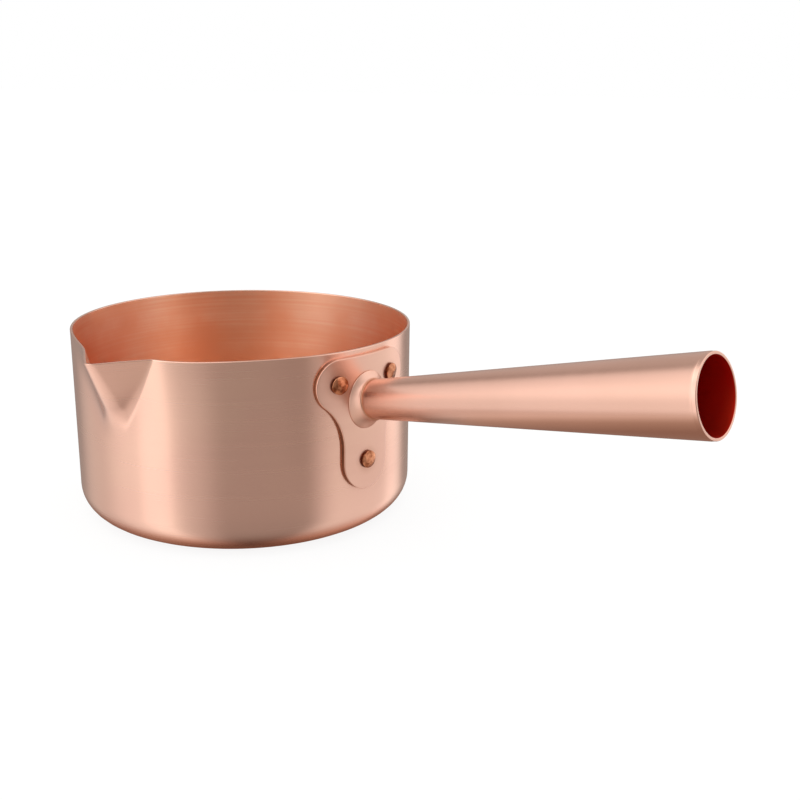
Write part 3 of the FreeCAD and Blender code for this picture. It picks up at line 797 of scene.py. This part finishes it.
def make_braze(metal):
    """The thin fillet of braze in the corner between the collar's mouth and the handle."""
    uneven = 1 + sum(size * np.sin(waves * TURNS + phase) for waves, size, phase in BRAZE_WAVES)
    width = BRAZE_WIDTH * uneven / BRAZE_FULLEST
    rings = []
    for turn in arc(6):
        station = COLLAR_MOUTH_STATION + width * (1 - math.cos(turn))
        rings.append(handle_ring(station, tube_radius(station) + width * (1 - math.sin(turn))))
    rings.append(handle_ring(COLLAR_MOUTH_STATION, tube_radius(COLLAR_MOUTH_STATION)))
    mesh = skin("braze", rings, around(COLLAR_MOUTH_RADIUS), wrap=True)
    finish_piece("braze", mesh, [metal], "braze_ring")


# ---------------------------------------------------------------- handle plate

def plate_outline():
    """Points (across, height) round the plate: two lobes at the top, flared flanks and a round foot."""
    bearing, _ = rivet_site("rivet_upper_right")
    _, foot_height = rivet_site("rivet_lower")
    lobe_y = PLATE_FACE * math.sin(bearing)
    lobe_z = plate_high.z - PLATE_LOBE
    inward = lobe_y - PLATE_FOOT
    rise = lobe_z - PLATE_WAIST_HEIGHT
    flank = (rise ** 2 + inward ** 2 - PLATE_LOBE ** 2) / (2 * (PLATE_LOBE + inward))
    lean = math.asin(rise / (PLATE_LOBE + flank))

    foot = [(PLATE_FOOT * math.cos(turn), foot_height - PLATE_FOOT * math.sin(turn))
            for turn in np.linspace(math.pi / 2, 0, 24)]
    flared = [(PLATE_FOOT + flank * (1 - math.cos(turn)), PLATE_WAIST_HEIGHT + flank * math.sin(turn))
              for turn in np.linspace(0, lean, 20)]
    lobe = [(lobe_y + PLATE_LOBE * math.cos(turn), lobe_z + PLATE_LOBE * math.sin(turn))
            for turn in np.linspace(-lean, math.pi / 2, 32)[1:]]
    top = [(lobe_y * share, plate_high.z) for share in (0.8, 0.6, 0.4, 0.2, 0.0)]
    right = foot + flared + lobe + top
    left = [(-y, z) for y, z in right[-2:0:-1]]
    return np.array(right + left) * (PLATE_NARROWING, 1)


def inset_outline(points, inset):
    """The outline moved inwards by a distance."""
    travel = np.roll(points, -1, axis=0) - np.roll(points, 1, axis=0)
    travel /= np.linalg.norm(travel, axis=1)[:, None]
    return points - inset * np.column_stack([travel[:, 1], -travel[:, 0]])


def fill_outline(shell, loop, pitch, low, high):
    """Fills a flat outline with a face, cut into a grid fine enough to bend."""
    face = shell.faces.new(loop)
    geometry = [face, *face.edges, *face.verts]
    for axis in (1, 2):
        normal = Vector((0, 1, 0)) if axis == 1 else Vector((0, 0, 1))
        for place in np.arange(low[axis], high[axis], pitch):
            cut = bmesh.ops.bisect_plane(shell, geom=geometry, plane_co=normal * place, plane_no=normal)
            geometry = cut["geom"]


def make_plate(metal, seam_and_painted_shade):
    """The sheet plate bent round the wall, its face's edge softened, and painted shade on its side where it
    meets the wall, except along the lit top.
    """
    outline = plate_outline()
    rounding = PLATE_EDGE_ROUND
    steps = [(0.0, PAN_RADIUS), (0.0, PLATE_FACE - PLATE_PAINTED_SHADE_STOPS)]
    steps += [(rounding * (1 - math.cos(turn)), PLATE_FACE - rounding * (1 - math.sin(turn)))
              for turn in arc()]
    steps.append((PLATE_FLAT_FROM, PLATE_FACE))
    shell = bmesh.new()
    depth = shell.verts.layers.float.new("depth")
    loops = []
    for inset, radius in steps:
        points = inset_outline(outline, inset)
        loop = [shell.verts.new((0, y, z)) for y, z in points]
        for vertex in loop:
            vertex[depth] = radius
        loops.append(loop)
    for step, (before, after) in enumerate(zip(loops, loops[1:])):
        for index, vertex in enumerate(before):
            following = (index + 1) % len(before)
            side = shell.faces.new((vertex, before[following], after[following], after[index]))
            travel = before[following].co - vertex.co
            on_top = -travel.y > PLATE_TOP_LEVEL * travel.length
            # the side where it meets the wall gets painted shade, except along the top where light falls
            side.material_index = int(step == 0 and not on_top)
    fill_outline(shell, loops[-1], PLATE_GRID, plate_low, plate_high)
    fill_outline(shell, loops[0], PLATE_GRID, plate_low, plate_high)
    for vertex in shell.verts:
        vertex.co.x = math.sqrt(vertex[depth] ** 2 - vertex.co.y ** 2)
    bmesh.ops.recalc_face_normals(shell, faces=shell.faces)
    brush = shell.loops.layers.uv.new("brush")
    for face in shell.faces:
        for corner in face.loops:
            corner[brush].uv = (corner.vert.co.y, corner.vert.co.z)
    mesh = bpy.data.meshes.new("plate")
    shell.to_mesh(mesh)
    shell.free()
    finish_piece("plate", mesh, [metal, seam_and_painted_shade], "handle_plate")


# ---------------------------------------------------------------- rivets

RIVET_SKIRT = PLATE_FACE - RIVET_HEAD_SUNK   # distances from the pan's axis
RIVET_TOP = PLATE_FACE + RIVET_HEAD_SIDE


def rivet_profile():
    """A rivet's outline from its button to its crown, as (radius, distance from the pan's axis)."""
    seat = math.sqrt((PAN_RADIUS - WALL) ** 2 - RIVET_BUTTON_RADIUS ** 2)
    edge = RIVET_HEAD_EDGE
    profile = [(RIVET_BUTTON_RADIUS * share, seat - RIVET_BUTTON_HEIGHT)
               for share in (RIVET_BUTTON_FIRST, RIVET_BUTTON_FLAT)]
    for turn in arc()[1:]:
        radius = RIVET_BUTTON_FLAT + (1 - RIVET_BUTTON_FLAT) * math.sin(turn)
        depth = 1 - RIVET_BUTTON_ROUNDED * (1 - math.cos(turn))
        profile.append((RIVET_BUTTON_RADIUS * radius, seat - RIVET_BUTTON_HEIGHT * depth))
    profile += [(RIVET_BUTTON_RADIUS, seat), (RIVET_SHANK_RADIUS, seat), (RIVET_SHANK_RADIUS, RIVET_SKIRT),
                (RIVET_HEAD_RADIUS, RIVET_SKIRT), (RIVET_HEAD_RADIUS, RIVET_TOP - edge)]
    profile += [(RIVET_HEAD_RADIUS - edge * (1 - math.cos(turn)), RIVET_TOP - edge * (1 - math.sin(turn)))
                for turn in arc()[1:]]
    profile += [((RIVET_HEAD_RADIUS - edge) * share, RIVET_TOP + RIVET_HEAD_DOME * (1 - share ** 2))
                for share in np.linspace(1, 0.06, 14)[1:]]
    return profile


def make_rivet(name, metal, dark_side, seed):
    """A copper rivet: hammered head outside, shank, and a flat button inside the pan."""
    chance = random.Random(seed)
    bearing, height = rivet_site(name)
    turns = np.radians(np.arange(0, 360, 6))
    profile = rivet_profile()

    # each hammer blow is a plane, a little off square, that no point of the head stands above
    blows = []
    for index in range(RIVET_BLOWS):
        lean = chance.uniform(*RIVET_BLOW_LEAN)
        stray = chance.uniform(-RIVET_BLOW_SHIFT, RIVET_BLOW_SHIFT)
        facing = math.tau * (index + stray) / RIVET_BLOWS + seed
        middle = RIVET_TOP + RIVET_HEAD_DOME * chance.uniform(*RIVET_BLOW_LEVEL)
        blows.append((lean * math.cos(facing), lean * math.sin(facing), middle))
    oval_phase, ragged_phase = chance.uniform(0, math.tau), chance.uniform(0, math.tau)
    out_of_round = (1 - RIVET_OVAL * (1 + np.sin(2 * turns + oval_phase))
                    - RIVET_RAGGED * (1 + np.sin(5 * turns + ragged_phase)))

    rings = []
    for radius, level in profile:
        across = radius * out_of_round * np.cos(turns)
        along = radius * out_of_round * np.sin(turns)
        levels = np.full(len(turns), level)
        if level > RIVET_TOP - RIVET_HEAD_EDGE:
            for slope_across, slope_along, middle in blows:
                levels = np.minimum(levels, middle + slope_across * across + slope_along * along)
        rings.append(np.column_stack([across, along, levels]))
    rings.insert(0, np.array([[0.0, 0.0, profile[0][1]]]))
    rings.append(np.array([[0.0, 0.0, rings[-1][:, 2].mean()]]))

    # the profile's level is the distance from the pan's axis, in the rivet's direction
    outwards = np.array([math.cos(bearing), math.sin(bearing), 0])
    sideways = np.array([-math.sin(bearing), math.cos(bearing), 0])
    upwards = np.array([0, 0, 1])
    rings = [np.outer(ring[:, 2], outwards) + np.outer(ring[:, 0], sideways)
             + np.outer(ring[:, 1] + height, upwards) for ring in rings]
    spread = np.append(turns, math.tau) * RIVET_HEAD_RADIUS
    head_foot = profile.index((RIVET_HEAD_RADIUS, RIVET_SKIRT)) + 1
    mesh = skin(name, rings, spread, material_of_band=lambda band: int(band in (head_foot, head_foot + 1)))
    finish_piece(f"{name}_head_and_shank", mesh, [metal, dark_side], name)


# ---------------------------------------------------------------- the whole pan

def make_saucepan():
    """Every visible piece, each in its own finish."""
    pan_outside = Metal("pan_satin_copper", COPPER, COPPER_PINK, 0.26, anisotropy=0.9,
                        line_depth=0.00015 * MM, line_tint=0.06).make()
    pan_inside = Metal("pan_spun_inside", COPPER_BRIGHT, COPPER_PEACH, 0.38, anisotropy=0.92,
                       line_pitch=1.6 * MM, line_length=90 * MM, line_depth=0.012 * MM, line_tint=0.7).make()
    make_pan(pan_outside, pan_inside)

    plate_metal = Metal("plate_satin_copper", COPPER, COPPER_PINK, 0.33, anisotropy=0.2,
                        line_pitch=0.6 * MM, line_length=18 * MM, line_depth=0.003 * MM)
    plate_metal.stains = [rivet_place(name) for name in RIVETS]
    plate_metal.stain_reach = 7 * MM
    plate_metal.stain_tint = COPPER_DULL
    # the plate's side gets painted shade where it meets the wall
    seam_and_painted_shade = Metal("plate_edge_painted_shade", PAINTED_EDGE_SHADE, TARNISH_AND_SHADE, 0.45)
    make_plate(plate_metal.make(), seam_and_painted_shade.make())

    collar_metal = Metal("collar_satin_copper", COPPER, COPPER_PINK, 0.42, line_depth=0.003 * MM)
    collar_foot = Metal("collar_foot_edge", COPPER_DEEP, TARNISH_AND_SHADE, 0.45)
    make_collar(collar_metal.make(), collar_foot.make())

    handle_outside = Metal("handle_satin_copper", COPPER_ROSE, COPPER_PINK, 0.25, anisotropy=0.6,
                           line_pitch=0.8 * MM, line_length=40 * MM, line_depth=0.0004 * MM,
                           line_tint=0.10).make()
    handle_inside = Metal("handle_red_oxide", OXIDE, OXIDE_BROWN, 0.5, line_pitch=1.4 * MM).make()
    make_tube(handle_outside, handle_inside)

    make_braze(Metal("braze_torched", COPPER_DEEP, TARNISH_AND_SHADE, 0.5, dimple=2.0).make())

    rivet_metal = Metal("rivet_hammered_copper", RIVET_BRIGHT, RIVET_BROWN, 0.24, line_pitch=0.8 * MM,
                        line_length=1.2 * MM, line_depth=0.02 * MM, line_tint=0.3, dimple=1.5,
                        patches=330.0).make()
    rivet_side = Metal("rivet_dark_side", RIVET_DARK, RIVET_BROWN, 0.4, patches=330.0).make()
    for seed, name in enumerate(RIVETS, start=1):
        make_rivet(name, rivet_metal, rivet_side, seed)


def rivet_place(name):
    """The middle of a rivet's head, on the plate's face."""
    bearing, height = rivet_site(name)
    return (PLATE_FACE * math.cos(bearing), PLATE_FACE * math.sin(bearing), height)


make_saucepan()
